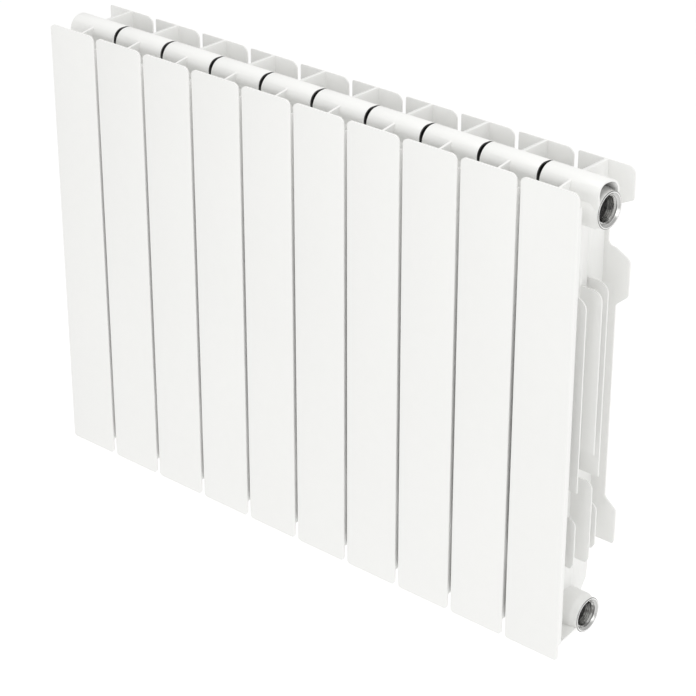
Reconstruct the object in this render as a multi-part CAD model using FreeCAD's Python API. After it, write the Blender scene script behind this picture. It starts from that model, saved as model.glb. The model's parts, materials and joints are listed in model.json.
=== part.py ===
"""Sectional radiator block: ten die-cast aluminium sections joined at an upper and a lower header.

Millimetres.  X runs along the block, Y from the room side (-Y) to the wall side (+Y), Z up.
The origin lies at mid-length on the underside of the upper header, where a wall hook carries it.
A section is drawn about its own middle plane: x across it, y back from the front face and
z up from the bottom of the front panel.  place() moves it to its spot in the block.
"""
import FreeCAD
import Part
import math
import os

Vec = FreeCAD.Vector

# ---------------------------------------------------------------- driving dimensions
SECTIONS = 10
PITCH = 80.0              # distance between the middle planes of two sections
CENTRES = 500.0           # upper port axis to lower port axis
HEIGHT = 571.0            # front panel
DEPTH = 102.0             # front face to the back of the rear plate
AXIS_Y = 54.0             # port axes, back from the front face
LOW_Z = 36.5              # lower port axis, up from the bottom of the panel
HIGH_Z = LOW_Z + CENTRES
GASKET_T = 1.5            # gasket between two port faces
FACE_X = PITCH / 2 - GASKET_T / 2
PAST = 1.0                # a cutting shape runs this far past what it cuts
TOUCHING = 1e-6           # ends closer than this are one point

# ports and headers
BOSS_R = 21.2             # port boss
HEADER_R = 23.4           # header between the bosses
BOSS_X = 34.0             # the boss runs from here to the port face
HEADER_X = 28.0           # the full header radius ends here
THREAD_R = 15.15          # crest of the 1 inch pipe thread
THREAD_L = 18.0
THREAD_LEAD = 1.5         # chamfer at the mouth
PASSAGE_R = 14.2          # waterway between the two threads

# front panel
PANEL_HALF = 37.75
PANEL_T = 2.1
PANEL_EDGE_R = 1.2
PANEL_TOP_R = 8.0
PANEL_LOW_R = 6.0
FLANGE_Y = 6.2
FLANGE_T = 2.0
FLANGE_Z = (21.0, 555.0)

# webs, water channel and the sheet between the panel and the lower header
FRONT_WEB_T = 3.0
FRONT_WEB_TOP = ((38.0, 566.0), (12.0, 562.0), (1.0, 559.0))   # y, z from the hood to the panel
REAR_WEB_T = 4.6
REAR_WEB_FOOT = ((72.0, 20.5), (88.0, 29.0), (92.5, 40.0), (99.5, 51.0), (101.0, 66.0))
WEB_FOOT_Z = 20.5
CHANNEL_W = 17.0
CHANNEL_D = 30.0
CHANNEL_WALL = 2.6
APRON_T = 2.4
APRON_REACH = 36.0
APRON_RISE = 5.4

# hood over the upper header
HOOD_Y = (33.5, 70.0)
HOOD_X = 39.0
HOOD_T = 2.4
HOOD_FRONT_R = 14.5
HOOD_BACK_R = 18.0
HOOD_CORE_X = 3.0         # the hood is solid this far from the middle plane
NOTCH_AT = (38.5, 567.0)  # y and z of the middle of the shallow round notch in each end of the hood
NOTCH_R = 18.5
NOTCH_DEPTH = 1.5

# fins: a long upper piece with a square foot and a short lower piece with cut foot corners
FIN_T = 1.7
UPPER_FIN_R = 12.0        # top corners
LOWER_FIN_R = 9.0
LOWER_FIN_CUT = (4.0, 6.0)
FINS = (                  # y, half width, then the heights of the upper and the lower piece
    (25.0, 35.5, (207.0, 441.0), (109.0, 172.0)),
    (52.0, 36.5, (244.0, 441.0), (105.0, 209.0)),
    (69.0, 32.0, (208.0, 444.0), (114.0, 172.0)),
)

# rear plate
PLATE_T = 2.1
PLATE_TOP = 569.5
PLATE_EDGE = (            # half width, height and corner radius, up one side
    (36.0, 108.5, 3.0),           # foot
    (37.0, 116.0, 0),
    (37.0, 152.0, 4.0),
    (21.3, 165.0, 6.0),           # waist
    (21.3, 405.0, 5.0),
    (37.0, 418.5, 7.0),           # shoulders
    (37.0, 461.5, 7.0),
    (18.0, 471.5, 6.0),
    (7.6, 473.0, 6.0),            # neck, where the wall hooks pass
    (7.6, 517.5, 4.0),
    (37.0, 532.0, 2.0),           # ears
    (37.0, PLATE_TOP, 9.0),
)
EAR_LEFT_R = 2.0          # the ears' left-hand top corners are nearly sharp

# closing plug under the lower header
SPIGOT_R = 18.0
SPIGOT_Z = 10.0
PLUG_R = 14.5
PLUG_T = 3.0
PLUG_RIM = 1.0            # the plug's face stands this far inside the spigot's rim
FIT = 0.05                # radial clearance of the plug and of the nipples

# threaded joining nipple and its gasket
NIPPLE_L = 30.0
NIPPLE_BORE = 11.8
NIPPLE_LEAD = 1.0         # chamfer at both ends
KEY_RIBS = 4
KEY_RIB_W = 3.0
KEY_RIB_H = 1.6
KEY_RIB_INSET = 3.0       # the ribs stop this far from the ends
GASKET_R = (15.8, 20.8)


# ---------------------------------------------------------------- small helpers
def face_yz(points, x):
    """A flat face in the plane of constant x from (y, z) corners."""
    corners = [Vec(x, y, z) for y, z in points]
    return Part.Face(Part.makePolygon(corners + corners[:1]))


def slab_yz(points, thickness):
    """A plate that stands on the middle plane, from (y, z) corners."""
    return face_yz(points, -thickness / 2).extrude(Vec(thickness, 0, 0))


def round_corner(a, corner, b, radius):
    """The two tangent points and the middle of an arc that rounds a corner."""
    to_a = (a - corner).normalize()
    to_b = (b - corner).normalize()
    half = to_a.getAngle(to_b) / 2
    along = radius / math.tan(half)
    middle = (to_a + to_b).normalize() * (radius / math.sin(half) - radius)
    return corner + to_a * along, corner + middle, corner + to_b * along


def outline(points):
    """A closed wire through (vector, radius) corners; radius 0 leaves a corner sharp."""
    edges = []
    ends = []
    for i, (corner, radius) in enumerate(points):
        before = points[i - 1][0]
        after = points[(i + 1) % len(points)][0]
        if radius:
            start, middle, stop = round_corner(before, corner, after, radius)
            edges.append(Part.Arc(start, middle, stop).toShape())
        else:
            start = stop = corner
        ends.append((start, stop))
    for i, (start, _) in enumerate(ends):
        leaves = ends[i - 1][1]
        if leaves.distanceToPoint(start) > TOUCHING:
            edges.append(Part.LineSegment(leaves, start).toShape())
    return Part.Wire(Part.sortEdges(edges)[0])


def plate_xz(points, y, thickness):
    """A plate parallel to the front from (x, z, corner radius) points."""
    wire = outline([(Vec(x, y, z), radius) for x, z, radius in points])
    return Part.Face(wire).extrude(Vec(0, thickness, 0))


def mirrored(half):
    """Both halves of an outline that runs up one side, (x, z, corner radius)."""
    other = [(-x, z, radius) for x, z, radius in reversed(half)]
    return list(half) + other


def turned_x(profile, z):
    """A solid turned about a port axis from (x, radius) points."""
    corners = [Vec(x, AXIS_Y, z + radius) for x, radius in profile]
    closed = Part.Face(Part.makePolygon(corners + corners[:1]))
    return closed.revolve(Vec(0, AXIS_Y, z), Vec(1, 0, 0), 360)


def bar_x(radius, x, length, z):
    return Part.makeCylinder(radius, length, Vec(x, AXIS_Y, z), Vec(1, 0, 0))


def oval(width, depth, low, high):
    """An upright bar with straight sides and round front and back, about the port axes."""
    r = width / 2
    front = AXIS_Y - depth / 2
    back = AXIS_Y + depth / 2
    corners = ((-r, front), (r, front), (r, back), (-r, back))
    wire = outline([(Vec(x, y, low), r) for x, y in corners])
    return Part.Face(wire).extrude(Vec(0, 0, high - low))


# ---------------------------------------------------------------- the parts of a section
def front_panel():
    half = PANEL_HALF
    across = outline([(Vec(-half, 0, 0), PANEL_EDGE_R), (Vec(half, 0, 0), PANEL_EDGE_R),
                      (Vec(half, PANEL_T, 0), 0), (Vec(-half, PANEL_T, 0), 0)])
    plate = Part.Face(across).extrude(Vec(0, 0, HEIGHT))
    shape = mirrored([(half, 0, PANEL_LOW_R), (half, HEIGHT, PANEL_TOP_R)])
    plate = plate.common(plate_xz(shape, -PAST, PANEL_T + 2 * PAST))
    low, high = FLANGE_Z
    flanges = [Part.makeBox(FLANGE_T, FLANGE_Y - PANEL_T / 2, high - low, Vec(x, PANEL_T / 2, low))
               for x in (-half, half - FLANGE_T)]
    return [plate] + flanges


def header(z):
    profile = [(-FACE_X, 0), (-FACE_X, BOSS_R), (-BOSS_X, BOSS_R), (-HEADER_X, HEADER_R),
               (HEADER_X, HEADER_R), (BOSS_X, BOSS_R), (FACE_X, BOSS_R), (FACE_X, 0)]
    return turned_x(profile, z)


def webs():
    """The middle web from the panel to the rear plate, thicker behind the port axes."""
    inner = PANEL_T / 2
    front = slab_yz([(inner, WEB_FOOT_Z), (AXIS_Y, WEB_FOOT_Z), (AXIS_Y, HIGH_Z + BOSS_R)] +
                    list(FRONT_WEB_TOP), FRONT_WEB_T)
    back = REAR_WEB_FOOT[-1][0]
    rear = slab_yz([(AXIS_Y, WEB_FOOT_Z)] + list(REAR_WEB_FOOT) +
                   [(back, PLATE_TOP), (AXIS_Y, PLATE_TOP)], REAR_WEB_T)
    return [front, rear]


def apron():
    """The sheet that runs from the foot of the panel's flanges to the lower header."""
    inner = PANEL_T / 2
    low = FLANGE_Z[0]
    high = low + APRON_RISE
    sheet = face_yz([(inner, low), (APRON_REACH, high), (APRON_REACH, high + APRON_T),
                     (inner, low + APRON_T)], -PANEL_HALF)
    return sheet.extrude(Vec(2 * PANEL_HALF, 0, 0))


def hood_profile(inset):
    """Outside of the hood, or its inside when inset by the wall."""
    front, back = HOOD_Y
    corners = [(front + inset, HIGH_Z, 0), (front + inset, HEIGHT - inset, HOOD_FRONT_R - inset),
               (back - inset, HEIGHT - inset, HOOD_BACK_R - inset), (back - inset, HIGH_Z, 0)]
    return Part.Face(outline([(Vec(0, y, z), radius) for y, z, radius in corners]))


def hood():
    whole = hood_profile(0)
    whole.translate(Vec(-HOOD_X, 0, 0))
    whole = whole.extrude(Vec(2 * HOOD_X, 0, 0))
    reach = HOOD_X + PAST - HOOD_CORE_X
    for x in (-HOOD_X - PAST, HOOD_CORE_X):
        hollow = hood_profile(HOOD_T)
        hollow.translate(Vec(x, 0, 0))
        whole = whole.cut(hollow.extrude(Vec(reach, 0, 0)))
    ball_r = (NOTCH_R ** 2 + NOTCH_DEPTH ** 2) / (2 * NOTCH_DEPTH)
    for side in (-1, 1):
        middle = Vec(side * (HOOD_X - NOTCH_DEPTH + ball_r), *NOTCH_AT)
        whole = whole.cut(Part.makeSphere(ball_r, middle))
    return whole


def fins():
    made = []
    across, up = LOWER_FIN_CUT
    for y, half, (upper_foot, upper_head), (lower_foot, lower_head) in FINS:
        upper = mirrored([(half, upper_foot, 0), (half, upper_head, UPPER_FIN_R)])
        lower = mirrored([(half - across, lower_foot, 0), (half, lower_foot + up, 0),
                          (half, lower_head, LOWER_FIN_R)])
        made += [plate_xz(upper, y, FIN_T), plate_xz(lower, y, FIN_T)]
    return made


def rear_plate():
    """Wide ears at the top, a narrow neck for the wall hooks, shoulders, a waist and a wide foot."""
    points = mirrored(PLATE_EDGE)
    points[len(PLATE_EDGE)] = (-PLATE_EDGE[-1][0], PLATE_TOP, EAR_LEFT_R)
    return plate_xz(points, DEPTH - PLATE_T, PLATE_T)


def spigot():
    return Part.makeCylinder(SPIGOT_R, LOW_Z - SPIGOT_Z, Vec(0, AXIS_Y, SPIGOT_Z))


def waterways():
    """Everything cut out of the casting: the threaded ports, the headers and the channel."""
    cuts = []
    lead_r = THREAD_R + THREAD_LEAD
    for z in (LOW_Z, HIGH_Z):
        cuts.append(bar_x(PASSAGE_R, -FACE_X, 2 * FACE_X, z))
        for side in (-1, 1):
            mouth = side * FACE_X
            inner = side * (FACE_X - THREAD_L)
            lead = side * (FACE_X - THREAD_LEAD)
            cuts.append(turned_x([(mouth, 0), (mouth, lead_r), (lead, THREAD_R), (inner, THREAD_R),
                                  (inner, 0)], z))
    inside = 2 * CHANNEL_WALL
    cuts.append(oval(CHANNEL_W - inside, CHANNEL_D - inside, SPIGOT_Z - PAST, HIGH_Z))
    cuts.append(Part.makeCylinder(PLUG_R, PLUG_T + PLUG_RIM, Vec(0, AXIS_Y, SPIGOT_Z)))
    return cuts


def section():
    pieces = front_panel() + webs() + fins()
    pieces += [header(LOW_Z), header(HIGH_Z), hood(), apron(), rear_plate(), spigot()]
    pieces.append(oval(CHANNEL_W, CHANNEL_D, LOW_Z, HIGH_Z))
    body = pieces[0].multiFuse(pieces[1:])
    body = body.cut(waterways())
    return body.removeSplitter()


# ---------------------------------------------------------------- what joins and closes the sections
def nipple(z):
    """A threaded tube with ribs inside for the assembly key."""
    end = NIPPLE_L / 2
    outer = THREAD_R - FIT
    tip = outer - NIPPLE_LEAD
    tube = turned_x([(-end, 0), (-end, tip), (NIPPLE_LEAD - end, outer), (end - NIPPLE_LEAD, outer),
                     (end, tip), (end, 0)], z)
    tube = tube.cut(bar_x(NIPPLE_BORE, -end, NIPPLE_L, z))
    inset = KEY_RIB_INSET
    for i in range(KEY_RIBS):
        rib = Part.makeBox(NIPPLE_L - 2 * inset, KEY_RIB_W, KEY_RIB_H + PAST,
                           Vec(inset - end, AXIS_Y - KEY_RIB_W / 2, z + NIPPLE_BORE - KEY_RIB_H))
        rib.rotate(Vec(0, AXIS_Y, z), Vec(1, 0, 0), (i + 0.5) * 360 / KEY_RIBS)
        tube = tube.fuse(rib)
    return tube.removeSplitter()


def gasket(z):
    inner, outer = GASKET_R
    ring = bar_x(outer, -GASKET_T / 2, GASKET_T, z)
    return ring.cut(bar_x(inner, -GASKET_T / 2, GASKET_T, z))


def plug():
    return Part.makeCylinder(PLUG_R - FIT, PLUG_T, Vec(0, AXIS_Y, SPIGOT_Z + PLUG_RIM))


# ---------------------------------------------------------------- the block
def place(shape, x):
    """Move a shape from the section's own measures to the block's frame."""
    moved = shape.copy()
    moved.translate(Vec(x, -AXIS_Y, BOSS_R - HIGH_Z))
    return moved


def write(name, shape):
    shape.exportStep("parts/%s.step" % name)


def main():
    os.makedirs("parts", exist_ok=True)
    casting = section()
    closing = plug()
    first = -PITCH * (SECTIONS - 1) / 2
    for i in range(SECTIONS):
        x = first + i * PITCH
        write("section_%02d" % (i + 1), place(casting, x))
        write("channel_plug_%02d" % (i + 1), place(closing, x))
    for level, z in (("upper", HIGH_Z), ("lower", LOW_Z)):
        tube = nipple(z)
        ring = gasket(z)
        for i in range(SECTIONS - 1):
            x = first + (i + 0.5) * PITCH
            write("%s_nipple_%02d" % (level, i + 1), place(tube, x))
            write("%s_gasket_%02d" % (level, i + 1), place(ring, x))
    print("section volume cm3", round(casting.Volume / 1000, 1), "solids", len(casting.Solids),
          "valid", casting.isValid())


main()
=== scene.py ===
"""Looks of a sectional aluminium radiator block: powder-coated castings with open, threaded end ports.

Metres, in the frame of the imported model: X along the block, +Y towards the wall, Z up.
Each casting is a copy of its CAD node with its flat facets joined and a hair-thin rounding on its
edges.  Each end port gets a turned metal ring with a cut thread.  Nipples, gaskets and plugs stay as
CAD nodes with new finishes.
"""
import json
import math

import bmesh
import bpy
from mathutils import Matrix, Vector


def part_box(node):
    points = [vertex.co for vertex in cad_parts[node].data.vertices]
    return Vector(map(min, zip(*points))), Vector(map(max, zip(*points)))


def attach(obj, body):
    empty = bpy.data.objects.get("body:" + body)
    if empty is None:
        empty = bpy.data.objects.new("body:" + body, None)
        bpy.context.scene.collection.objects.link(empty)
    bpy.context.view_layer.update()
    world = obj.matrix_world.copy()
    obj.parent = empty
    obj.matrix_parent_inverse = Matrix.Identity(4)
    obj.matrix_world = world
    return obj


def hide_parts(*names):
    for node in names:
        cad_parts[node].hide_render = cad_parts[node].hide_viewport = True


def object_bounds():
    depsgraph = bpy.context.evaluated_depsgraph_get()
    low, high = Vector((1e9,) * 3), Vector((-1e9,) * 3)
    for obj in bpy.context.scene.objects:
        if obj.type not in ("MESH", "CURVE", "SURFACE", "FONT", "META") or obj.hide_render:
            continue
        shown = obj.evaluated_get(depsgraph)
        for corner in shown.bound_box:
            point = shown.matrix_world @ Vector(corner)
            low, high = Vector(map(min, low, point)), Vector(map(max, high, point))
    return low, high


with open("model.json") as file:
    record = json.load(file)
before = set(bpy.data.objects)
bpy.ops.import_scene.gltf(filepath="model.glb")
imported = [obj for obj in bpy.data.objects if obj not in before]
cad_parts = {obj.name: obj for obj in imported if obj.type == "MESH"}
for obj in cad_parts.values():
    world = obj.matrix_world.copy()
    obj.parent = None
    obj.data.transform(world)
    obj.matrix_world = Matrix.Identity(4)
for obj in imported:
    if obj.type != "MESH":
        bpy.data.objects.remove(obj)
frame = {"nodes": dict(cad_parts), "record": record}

CAD_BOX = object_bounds()
NODES = frame["nodes"]
RECORD = frame["record"]
MM = 0.001

# ---------------------------------------------------------------- sizes
ROUNDING = 0.7 * MM            # asked of a casting's edges and creases; rounded() says what they get
ROUNDING_STEPS = 2
SHARPER_THAN = 22              # degrees between two faces; flatter joints stay as they are
MERGE = 0.002 * MM
FLATTER_THAN = 0.6             # degrees; facets closer than this are one face
NEAR = 0.5 * MM                # this close to a round wall counts as on it

# hood over the upper header: how far its middle lies behind the block's front face and below its top
HOOD_MIDDLE = (51.75 * MM, 18 * MM)
HOOD_REACH = 18.9 * MM         # from that middle past either side
HOOD_INSIDE = 16.3 * MM        # from that middle to the inside of either wall
HEADER_R = 23.4 * MM
HOOD_RIM = 2.8 * MM            # from the port face back to where the hood's own faces begin
UNPAINTED_AND_SHADE_FADE = 16 * MM            # at an open end the mark fades in over this depth from the mouth: thinner coat, and painted shade deepening into the hood

METAL_PROUD = 0.65 * MM        # the turned face stands this far out of the paint
RING_R = 21.1 * MM
RING_EDGE = 0.5 * MM
MOUTH_R = 19.2 * MM            # where the flat face ends and the chamfer into the thread begins
LEAD = 2.4 * MM                # depth of that chamfer
SEAT_R = 19.7 * MM             # the ring's seat in the casting, wide at the mouth
SEAT_L = 3.4 * MM              # and down to the sleeve at this depth
SLEEVE_R = 17.3 * MM           # outside of the threaded wall, let into the casting
SLEEVE_L = 18.1 * MM
LANDING = 2 * MM               # the painted face is lowered this far past the ring's rim
THREAD_PITCH = 2.309 * MM      # 1 inch pipe thread, 11 to the inch
THREAD_DEPTH = 1.479 * MM
RIDGE_FOOT = 0.99              # the ridge's width at the wall and at its crest, in pitches
RIDGE_TOP = 0.14
RIDGE_RISE = 1.06              # its height in thread depths, so that its foot lies in the wall
RIDGE_SINK = 1.3               # it runs out this deep into the wall at both ends
RUN_OUT = 0.7                  # over this many turns
RING_SEGMENTS = 96
TURNED_CORNER = 30             # degrees; flatter joints of the ring and thread are smooth

FLOOR_DROP = 0.62              # from the foot of the block to the floor
FLOOR_SIZE = 24.0
FLOOR_GLOW = 0.25              # the sweep is lit from below as well
SKY = 0.80
SOFTBOXES = {                  # place from the middle of the block, diameter and watts
    "overhead_softbox": ((0.3, -0.35, 2.2), 1.4, 14),
    "front_softbox": ((0.9, -2.8, 0.1), 1.4, 3),
    "end_softbox": ((2.6, -0.5, 0.5), 1.2, 6),
}

# camera: where it stands about the middle of the block, and how far its aim is off that middle
TURN = 41.36                   # degrees round from straight in front, towards the right-hand end
PITCH_DOWN = 26.98
DISTANCE = 2.803
AIM_OFF = (0.0336, 0.0067, -0.0337)
LENS = 122.4

# ---------------------------------------------------------------- colours
WHITE = (0.87, 0.87, 0.855)
PLUG_WHITE = (0.85, 0.85, 0.835)
# unpainted cast metal, made very dark: painted shade in the hood, the waterways and the joint slits
CAST_SKIN_AND_SHADE = ((0.07, 0.07, 0.069), (0.12, 0.12, 0.118))
TURNED = ((0.74, 0.74, 0.73), (0.92, 0.92, 0.91))
DARK_REFLECTION_PATCH = (0.30, 0.295, 0.29)    # painted reflection: dark patches in the thread
# painted shade for the ring's rim, its chamfer and the thread's root
TURNED_SHADE = (0.17, 0.17, 0.165)
ZINC = ((0.56, 0.56, 0.53), (0.70, 0.70, 0.69))
FIBRE = ((0.035, 0.035, 0.038), (0.075, 0.075, 0.08))
FLECK = (0.20, 0.20, 0.20)
PAPER = ((0.93, 0.93, 0.93), (0.95, 0.95, 0.95))
TURNED_FLAT = (0.78, 0.78, 0.77)    # the plain colours that stand for finishes in a flat view
ZINC_FLAT = (0.62, 0.62, 0.60)
FIBRE_FLAT = (0.06, 0.06, 0.065)
PAPER_FLAT = (0.92, 0.92, 0.92)

CASTING_GLOSS = 0.33           # middle roughness of the coat
PLUG_GLOSS = 0.38


# ---------------------------------------------------------------- node building
class Graph:
    """Adds nodes to one tree.  node() takes a type, its settings and the values or links of its sockets."""

    def __init__(self, tree):
        self.tree = tree

    def node(self, kind, settings=None, inputs=None):
        made = self.tree.nodes.new(kind)
        for name, value in (settings or {}).items():
            setattr(made, name, value)
        for name, value in (inputs or {}).items():
            feed(made.inputs[name], value)
        return made

    def mix(self, factor, first, second):
        """Two colours blended by a factor."""
        sockets = {0: factor, 6: colour(first), 7: colour(second)}
        return self.node("ShaderNodeMix", {"data_type": "RGBA"}, sockets).outputs[2]


class Num:
    """A number that varies over a surface.  Its operators add Math nodes."""

    def __init__(self, socket):
        self.socket = socket

    def math(self, operation, first, second=None):
        made = self.socket.id_data.nodes.new("ShaderNodeMath")
        made.operation = operation
        feed(made.inputs[0], first)
        if second is not None:
            feed(made.inputs[1], second)
        return Num(made.outputs[0])

    def __add__(self, other):
        return self.math("ADD", self, other)

    def __radd__(self, other):
        return self.math("ADD", other, self)

    def __sub__(self, other):
        return self.math("SUBTRACT", self, other)

    def __rsub__(self, other):
        return self.math("SUBTRACT", other, self)

    def __mul__(self, other):
        return self.math("MULTIPLY", self, other)

    def __rmul__(self, other):
        return self.math("MULTIPLY", other, self)

    def __truediv__(self, other):
        return self.math("DIVIDE", self, other)

    def __rtruediv__(self, other):
        return self.math("DIVIDE", other, self)

    def __pow__(self, other):
        return self.math("POWER", self, other)

    def at_least(self, other):
        return self.math("MAXIMUM", self, other)

    def at_most(self, other):
        return self.math("MINIMUM", self, other)

    def between(self, low, high):
        """0 below low, 1 above high and a straight rise from one to the other."""
        return ((self - low) / (high - low)).at_least(0).at_most(1)


def feed(socket, value):
    """Link or set one input."""
    if isinstance(value, Num):
        value = value.socket
    if isinstance(value, bpy.types.NodeSocket):
        socket.id_data.links.new(value, socket)
    else:
        socket.default_value = value


def colour(value):
    return (*value, 1) if isinstance(value, tuple) else value


class Finish(Graph):
    """A material: its shader, the place on the piece and the noise that every finish here is made of."""

    def __init__(self, name, view_colour):
        self.material = bpy.data.materials.new(name)
        self.material.use_nodes = True
        self.material.diffuse_color = (*view_colour, 1)
        super().__init__(self.material.node_tree)
        self.tree.nodes.clear()
        self.shader = self.node("ShaderNodeBsdfPrincipled")
        self.node("ShaderNodeOutputMaterial", None, {"Surface": self.shader.outputs[0]})
        self.place = self.node("ShaderNodeTexCoord").outputs["Object"]

    def noise(self, scale, detail=3.0, roughness=0.5, vector=None):
        inputs = {"Vector": vector or self.place, "Scale": scale, "Detail": detail, "Roughness": roughness}
        return Num(self.node("ShaderNodeTexNoise", None, inputs).outputs["Fac"])

    def attribute(self, name):
        made = self.node("ShaderNodeAttribute", {"attribute_name": name})
        return Num(made.outputs["Fac"])

    def relief(self, height, distance, strength=1.0, under=None):
        inputs = {"Height": height, "Distance": distance, "Strength": strength}
        if under is not None:
            inputs["Normal"] = under
        return self.node("ShaderNodeBump", None, inputs).outputs["Normal"]

    def finish(self, base, roughness, normal=None, **constants):
        feed(self.shader.inputs["Base Color"], colour(base))
        feed(self.shader.inputs["Roughness"], roughness)
        if normal is not None:
            feed(self.shader.inputs["Normal"], normal)
        for name, value in constants.items():
            self.shader.inputs[name.replace("_", " ")].default_value = value
        return self.material


# ---------------------------------------------------------------- finishes
def powder_coat(name, white, gloss):
    """Satin powder coat with orange peel, fine grain and slow changes of tone.
    Where the piece's unpainted mark is 1, the coat didn't reach and very dark casting shows; that darkness
    is also painted shade for hollows and joint slits."""
    coat = Finish(name, white)
    drift = coat.noise(5.0, 2.0)
    mottle = coat.noise(70.0, 4.0)
    peel = coat.noise(620.0, 1.5)
    grain = coat.noise(2600.0, 2.0)
    tone = (drift * 0.6 + mottle * 0.4).between(0.35, 0.65)
    field = coat.mix(tone, tuple(c * 0.985 for c in white), white)
    # painted shade: the marked hollows and joint rims turn very dark
    unpainted_and_shade = (coat.attribute("unpainted_and_shade") * 1.1 - mottle * 0.1).between(0.0, 1.0)
    skin_and_shade = coat.mix(mottle.between(0.3, 0.7), *CAST_SKIN_AND_SHADE)
    base = coat.mix(unpainted_and_shade, field, skin_and_shade)
    roughness = gloss + (mottle - 0.5) * 0.10 + (grain - 0.5) * 0.05 + unpainted_and_shade * 0.3
    wavy = coat.relief(peel, 0.05 * MM, 0.35)
    normal = coat.relief(grain, 0.008 * MM, 0.5, wavy)
    return coat.finish(base, roughness, normal)


def turned_metal(name, height, crest):
    """Bare turned aluminium about a port axis at this height, with tool marks.
    The rim, the chamfer and the thread's root carry painted shade, and dark patches in the thread are a
    painted reflection."""
    metal = Finish(name, TURNED_FLAT)
    split = metal.node("ShaderNodeSeparateXYZ", None, {"Vector": metal.place})
    across, along, up = (Num(split.outputs[axis]) for axis in ("Y", "X", "Z"))
    radius = (across * across + (up - height) * (up - height)) ** 0.5
    tool = metal.node("ShaderNodeCombineXYZ", None, {"X": radius, "Y": along, "Z": 0.0}).outputs[0]
    feed_marks = metal.noise(5200.0, 2.0, 0.6, tool)
    bands = metal.noise(900.0, 2.0, 0.5, tool)
    # patches of this noise darken the thread as painted reflection, and also vary its roughness
    thread_patches = metal.noise(160.0, 4.0)
    inside = 1 - radius.between(crest + THREAD_DEPTH, crest + THREAD_DEPTH + 0.3 * MM)
    root = radius.between(crest + 0.3 * MM, crest + THREAD_DEPTH) * inside
    clean = metal.mix(bands.between(0.3, 0.7), *TURNED)
    # dark patches in the thread: painted reflection
    with_reflection_patches = metal.mix(thread_patches.between(0.5, 0.62) * inside * 0.6, clean, DARK_REFLECTION_PATCH)
    # painted shade: the rim, the chamfer and the thread's root are darkened
    rim = radius.between(RING_R - 1.0 * MM, RING_R - 0.8 * MM)
    chamfer = (1 - radius.between(MOUTH_R - 0.2 * MM, MOUTH_R)) * (1 - inside)
    dark = (root * 0.2).at_least(rim * 0.85).at_least(chamfer * 0.5)
    base = metal.mix(dark, with_reflection_patches, TURNED_SHADE)
    roughness = 0.14 + bands * 0.08 + thread_patches * 0.10 + root * 0.12
    normal = metal.relief(feed_marks, 0.02 * MM, 0.6)
    return metal.finish(base, roughness, normal, Metallic=1.0)


def zinc_plate(name):
    """Bright zinc with the faint cloud of its passivation."""
    zinc = Finish(name, ZINC_FLAT)
    cloud = zinc.noise(90.0, 4.0)
    spangle = zinc.noise(1500.0, 2.0)
    base = zinc.mix(cloud.between(0.3, 0.7), *ZINC)
    roughness = 0.28 + cloud * 0.18 + spangle * 0.06
    return zinc.finish(base, roughness, zinc.relief(spangle, 0.01 * MM, 0.5), Metallic=1.0)


def fibre_sheet(name):
    """Dark pressed fibre and rubber, with pale flecks."""
    sheet = Finish(name, FIBRE_FLAT)
    fleck = sheet.noise(2400.0, 3.0, 0.7)
    patch = sheet.noise(200.0, 3.0)
    base = sheet.mix(fleck.between(0.62, 0.75) * 0.5, sheet.mix(patch, *FIBRE), FLECK)
    return sheet.finish(base, 0.75 + (patch - 0.5) * 0.2, sheet.relief(fleck, 0.03 * MM, 0.8))


# ---------------------------------------------------------------- castings
def rounded(mesh, name):
    """A smooth-shaded copy of the mesh with a hair-thin rounding on its edges and creases.
    The limit that keeps its strips from crossing holds them to about 0.002 mm here, which is far less
    than ROUNDING asks."""
    holder = bpy.data.objects.new(name, mesh)
    bpy.context.scene.collection.objects.link(holder)
    bevel = holder.modifiers.new("rounding", "BEVEL")
    bevel.width = ROUNDING
    bevel.segments = ROUNDING_STEPS
    bevel.limit_method = "ANGLE"
    bevel.angle_limit = math.radians(SHARPER_THAN)
    bevel.miter_outer = "MITER_ARC"
    made = bpy.data.meshes.new_from_object(holder.evaluated_get(bpy.context.evaluated_depsgraph_get()))
    bpy.data.objects.remove(holder)
    for polygon in made.polygons:
        polygon.use_smooth = True
    return made


def mark_unpainted_and_shade(mesh, side):
    """Store 1 where the coat doesn't reach: in the waterways, inside the hood and on its rims at the
    joints.  The very dark casting there is also painted shade for these hollows and the joint slits.  At an
    open end the mark fades towards the mouth: some coat gets in there, and the painted shade deepens into
    the hood."""
    low, high = CAD_BOX
    middle_y = low[1] + HOOD_MIDDLE[0]
    middle_z = high[2] - HOOD_MIDDLE[1]
    levels = sorted({mount["pos_m"][2] for mount in RECORD["mounts"] if mount["kind"] == "threaded_hole"})
    axis_z = levels[-1]
    start = min(vert.co.x for vert in mesh.vertices)
    stop = max(vert.co.x for vert in mesh.vertices)
    marks = mesh.attributes.new("unpainted_and_shade", "FLOAT", "POINT")
    for i, vert in enumerate(mesh.vertices):
        x, y, z = vert.co
        # the waterways are marked: their unpainted casting, made very dark, is also painted shade at the
        # back of the bore
        if min(math.hypot(y, z - level) for level in levels) < SLEEVE_R + NEAR:
            marks.data[i].value = 1.0
        if z < axis_z or abs(y - middle_y) > HOOD_REACH:
            continue
        open_end = side > 0 and x > (start + stop) / 2 or side < 0 and x < (start + stop) / 2
        to_end = min(x - start, stop - x)
        facing_in = vert.normal.y * (y - middle_y) + vert.normal.z * (z - middle_z) < 0
        on_header = math.hypot(y, z - axis_z) < HEADER_R + NEAR and abs(y - middle_y) < HOOD_INSIDE
        # the joint rims are marked so the slits between the hoods show painted shade
        on_rim = abs(vert.normal.x) > 0.4 and to_end < HOOD_RIM
        # at an open end the painted shade deepens from the mouth inward
        if open_end:
            marks.data[i].value = min(1.0, to_end / UNPAINTED_AND_SHADE_FADE) if facing_in or on_header else 0.0
        elif facing_in or on_header or on_rim:
            marks.data[i].value = 1.0


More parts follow.
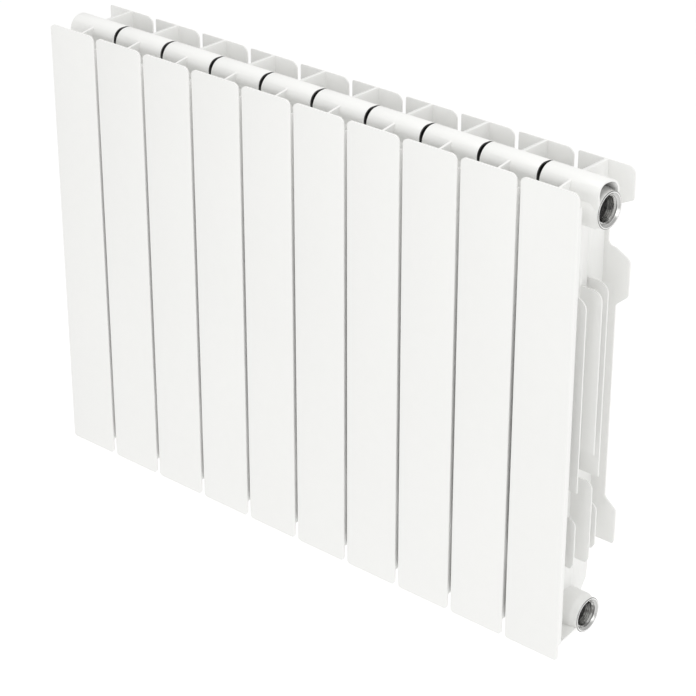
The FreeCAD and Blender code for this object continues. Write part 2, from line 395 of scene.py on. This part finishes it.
def open_ports(bm, side, ports):
    """Cut a casting's end back for its metal rings: a lower face and a wider bore."""
    for port in ports:
        face = port["face"]
        for vert in bm.verts:
            off = Vector((0, vert.co.y, vert.co.z - port["height"]))
            inward = (face - vert.co.x) * side
            if off.length < SLEEVE_R and inward < SLEEVE_L and off.length > port["crest"] - 0.1 * MM:
                wall = SEAT_R if inward < METAL_PROUD else SLEEVE_R
                vert.co += off.normalized() * (wall - off.length)
                if METAL_PROUD < inward < SEAT_L:
                    vert.co.x = face - side * SEAT_L
            if inward < METAL_PROUD and off.length < RING_R + LANDING:
                vert.co.x = face - side * METAL_PROUD


def casting_mesh(node, side, ports):
    mesh = bpy.data.meshes.new(node)
    bm = bmesh.new()
    bm.from_mesh(NODES[node].data)
    bmesh.ops.remove_doubles(bm, verts=bm.verts, dist=MERGE)
    bmesh.ops.dissolve_limit(bm, angle_limit=math.radians(FLATTER_THAN), verts=bm.verts, edges=bm.edges)
    if side:
        open_ports(bm, side, ports)
    bm.to_mesh(mesh)
    bm.free()
    made = rounded(mesh, node)
    mark_unpainted_and_shade(made, side)
    return made


def add_piece(name, mesh, material):
    piece = bpy.data.objects.new(name, mesh)
    bpy.context.scene.collection.objects.link(piece)
    mesh.materials.clear()
    mesh.materials.append(material)
    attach(piece, "root")
    return piece


def castings(ports, paint):
    """Ten castings: both ends with open ports, and the ones between as copies of the second."""
    names = sorted(n for n in NODES if n.startswith("section_"))
    inner = casting_mesh(names[1], 0, [])
    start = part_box(names[1])[0][0]
    for name in names:
        if name in (names[0], names[-1]):
            side = -1 if name == names[0] else 1
            mesh = casting_mesh(name, side, [p for p in ports if p["side"] == side])
        else:
            mesh = inner.copy()
            mesh.transform(Matrix.Translation((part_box(name)[0][0] - start, 0, 0)))
        piece = add_piece(name.replace("section", "casting"), mesh, paint)
        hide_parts(name)


# ---------------------------------------------------------------- end ports
def end_ports():
    """Side, height, thread crest and face of each open port."""
    low, high = CAD_BOX
    found = []
    for mount in RECORD["mounts"]:
        if mount["kind"] == "threaded_hole":
            side = 1 if mount["axis"][0] > 0 else -1
            found.append({"name": mount["name"], "side": side, "height": mount["pos_m"][2],
                          "crest": mount["dims"]["r_mm"] * MM, "face": high[0] if side > 0 else low[0]})
    return found


def thread_tree(material):
    """A helical ridge that sinks into the wall at both ends, joined to the turned ring that comes in."""
    tree = bpy.data.node_groups.new("cut_thread", "GeometryNodeTree")
    face = tree.interface
    face.new_socket("Geometry", in_out="INPUT", socket_type="NodeSocketGeometry")
    for name in ("Crest Radius", "Depth", "Pitch", "Length", "Run Out Turns"):
        face.new_socket(name, in_out="INPUT", socket_type="NodeSocketFloat")
    face.new_socket("Left Hand", in_out="INPUT", socket_type="NodeSocketBool")
    face.new_socket("Inner End", in_out="INPUT", socket_type="NodeSocketVector")
    face.new_socket("Axis Turn", in_out="INPUT", socket_type="NodeSocketRotation")
    face.new_socket("Geometry", in_out="OUTPUT", socket_type="NodeSocketGeometry")
    graph = Graph(tree)
    given = graph.node("NodeGroupInput").outputs
    crest, depth, pitch = (Num(given[n]) for n in ("Crest Radius", "Depth", "Pitch"))
    turns = Num(given["Length"]) / pitch
    middle = crest + depth / 2
    helix = graph.node("GeometryNodeCurveSpiral", None,
                       {"Resolution": RING_SEGMENTS, "Rotations": turns, "Start Radius": middle,
                        "End Radius": middle, "Height": given["Length"], "Reverse": given["Left Hand"]})
    along = Num(graph.node("GeometryNodeSplineParameter").outputs["Factor"])
    from_end = along.at_most(1 - along) * turns / given["Run Out Turns"]
    sink = (1 - from_end.at_most(1)) * depth * RIDGE_SINK
    spot = graph.node("GeometryNodeInputPosition").outputs[0]
    flat = graph.node("ShaderNodeVectorMath", {"operation": "MULTIPLY"}, {0: spot, 1: (1, 1, 0)}).outputs[0]
    outward = graph.node("ShaderNodeVectorMath", {"operation": "NORMALIZE"}, {0: flat}).outputs[0]
    scaled = {0: outward, "Scale": sink}
    shift = graph.node("ShaderNodeVectorMath", {"operation": "SCALE"}, scaled).outputs[0]
    sunk = graph.node("GeometryNodeSetPosition", None, {"Geometry": helix.outputs[0], "Offset": shift})
    upright = graph.node("GeometryNodeSetCurveNormal", {"mode": "Z_UP"}, {"Curve": sunk.outputs[0]})
    ridge = graph.node("GeometryNodeCurvePrimitiveQuadrilateral", {"mode": "TRAPEZOID"},
                       {"Bottom Width": pitch * RIDGE_FOOT, "Top Width": pitch * RIDGE_TOP,
                        "Height": depth * RIDGE_RISE, "Offset": 0.0})
    swept = graph.node("GeometryNodeCurveToMesh", None,
                       {"Curve": upright.outputs[0], "Profile Curve": ridge.outputs[0], "Fill Caps": True})
    placed = graph.node("GeometryNodeTransform", None,
                        {"Geometry": swept.outputs[0], "Translation": given["Inner End"],
                         "Rotation": given["Axis Turn"]})
    whole = graph.node("GeometryNodeJoinGeometry")
    for part in (placed.outputs[0], given["Geometry"]):
        tree.links.new(part, whole.inputs[0])
    real = graph.node("GeometryNodeRealizeInstances", None, {0: whole.outputs[0]})
    finished = {"Geometry": real.outputs[0], "Material": material}
    coated = graph.node("GeometryNodeSetMaterial", None, finished)
    graph.node("NodeGroupOutput", None, {0: coated.outputs[0]})
    return tree


def ring_mesh(port):
    """The turned ring as a closed lathe shape: bevelled rim, flat face, chamfer and plain sleeve."""
    root = port["crest"] + THREAD_DEPTH
    profile = [(METAL_PROUD + 0.2 * MM, RING_R), (RING_EDGE, RING_R), (0.1 * MM, RING_R - 0.45 * MM),
               (0, RING_R - 0.7 * MM), (0, MOUTH_R), (0.1 * MM, MOUTH_R - 0.2 * MM),
               (LEAD, root - 0.3 * MM), (LEAD + 0.4 * MM, root), (SLEEVE_L, root), (SLEEVE_L, SLEEVE_R),
               (SEAT_L, SLEEVE_R), (METAL_PROUD + 0.2 * MM, SEAT_R)]
    bm = bmesh.new()
    rings = []
    turn = [2 * math.pi * i / RING_SEGMENTS for i in range(RING_SEGMENTS)]
    for deep, radius in profile:
        x = port["face"] - port["side"] * deep
        circle = [(x, radius * math.cos(a), port["height"] + radius * math.sin(a)) for a in turn]
        rings.append([bm.verts.new(spot) for spot in circle])
    for ring, following in zip(rings, rings[1:] + rings[:1]):
        for i in range(RING_SEGMENTS):
            j = (i + 1) % RING_SEGMENTS
            bm.faces.new((ring[i], ring[j], following[j], following[i]))
    bmesh.ops.recalc_face_normals(bm, faces=bm.faces)
    mesh = bpy.data.meshes.new(port["name"])
    bm.to_mesh(mesh)
    bm.free()
    return mesh


def port_rings(ports):
    """A metal ring with its thread in each open port; the left-hand end has left-hand threads."""
    finishes = {}
    for port in ports:
        height = port["height"]
        if height not in finishes:
            finishes[height] = turned_metal("turned_aluminium_%d" % len(finishes), height, port["crest"])
        tree = thread_tree(finishes[height])
        holder = bpy.data.objects.new(port["name"], ring_mesh(port))
        bpy.context.scene.collection.objects.link(holder)
        cut = holder.modifiers.new("thread", "NODES")
        cut.node_group = tree
        side = port["side"]
        given = {"Crest Radius": port["crest"], "Depth": THREAD_DEPTH, "Pitch": THREAD_PITCH,
                 "Length": SLEEVE_L - LEAD - THREAD_PITCH, "Run Out Turns": RUN_OUT, "Left Hand": side < 0,
                 "Inner End": (port["face"] - side * (SLEEVE_L - THREAD_PITCH / 2), 0, height),
                 "Axis Turn": (0, side * math.pi / 2, 0)}
        for socket in tree.interface.items_tree:
            if socket.in_out == "INPUT" and socket.name in given:
                cut[socket.identifier] = given[socket.name]
        mesh = bpy.data.meshes.new_from_object(holder.evaluated_get(bpy.context.evaluated_depsgraph_get()))
        bpy.data.objects.remove(holder)
        mesh.name = port["name"]
        smooth_turned(mesh)
        add_piece(port["name"].replace("port", "port_ring"), mesh, finishes[height])


def smooth_turned(mesh):
    """Smooth round the axis, sharp at the turned corners."""
    bm = bmesh.new()
    bm.from_mesh(mesh)
    for face in bm.faces:
        face.smooth = True
    for edge in bm.edges:
        edge.smooth = edge.calc_face_angle(0.0) < math.radians(TURNED_CORNER)
    bm.to_mesh(mesh)
    bm.free()


# ---------------------------------------------------------------- carried-over nodes
def refinish(prefix, material):
    for name, node in NODES.items():
        if name.startswith(prefix):
            for slot in node.material_slots:
                slot.material = material


# ---------------------------------------------------------------- stage
def link(name, data):
    made = bpy.data.objects.new(name, data)
    bpy.context.scene.collection.objects.link(made)
    return made


def aim(thing, place, target):
    thing.location = place
    thing.rotation_mode = "QUATERNION"
    thing.rotation_quaternion = (Vector(target) - Vector(place)).to_track_quat("-Z", "Y")


def clear_defaults():
    for name in ("Cube", "Light", "Camera"):
        if name in bpy.data.objects:
            bpy.data.objects.remove(bpy.data.objects[name])


def floor(low):
    paper = Finish("pale_floor", PAPER_FLAT)
    fibre = paper.relief(paper.noise(900.0, 3.0), 0.1 * MM, 0.3)
    cloud = paper.noise(2.0, 2.0)
    material = paper.finish(paper.mix(cloud, *PAPER), 0.85 + (cloud - 0.5) * 0.1, fibre,
                            Emission_Color=(1, 1, 1, 1), Emission_Strength=FLOOR_GLOW)
    mesh = bpy.data.meshes.new("floor")
    half = FLOOR_SIZE / 2
    z = low - FLOOR_DROP
    corners = [(-half, -half, z), (half, -half, z), (half, half, z), (-half, half, z)]
    mesh.from_pydata(corners, [], [(0, 1, 2, 3)])
    mesh.materials.append(material)
    link("floor", mesh)


def soft_light(name, place, target, size, power):
    lamp = bpy.data.lights.new(name, "AREA")
    lamp.shape = "DISK"
    lamp.size = size
    lamp.energy = power
    aim(link(name, lamp), place, target)


def stage():
    low, high = (Vector(corner) for corner in CAD_BOX)
    middle = (low + high) / 2
    floor(low.z)
    world = bpy.data.worlds.new("studio")
    world.use_nodes = True
    bpy.context.scene.world = world
    sky = world.node_tree.nodes["Background"].inputs
    sky["Color"].default_value = (1.0, 1.0, 0.995, 1)
    sky["Strength"].default_value = SKY
    for name, (place, size, power) in SOFTBOXES.items():
        soft_light(name, middle + Vector(place), middle, size, power)
    camera = link("camera", bpy.data.cameras.new("camera"))
    camera.data.lens = LENS
    camera.data.clip_end = 100
    turn, pitch = math.radians(TURN), math.radians(PITCH_DOWN)
    level = Vector((-math.sin(turn), math.cos(turn), 0))
    forward = level * math.cos(pitch) - Vector((0, 0, math.sin(pitch)))
    target = middle + Vector(AIM_OFF)
    aim(camera, target - forward * DISTANCE, target)
    bpy.context.scene.camera = camera
    bpy.context.scene.view_settings.view_transform = "Standard"


# ---------------------------------------------------------------- the block
def build():
    clear_defaults()
    ports = end_ports()
    castings(ports, powder_coat("white_powder_coat", WHITE, CASTING_GLOSS))
    port_rings(ports)
    refinish("channel_plug", powder_coat("plug_powder_coat", PLUG_WHITE, PLUG_GLOSS))
    for level in ("upper", "lower"):
        refinish(level + "_nipple", zinc_plate(level + "_zinc_plate"))
        refinish(level + "_gasket", fibre_sheet(level + "_fibre_sheet"))
    stage()


build()
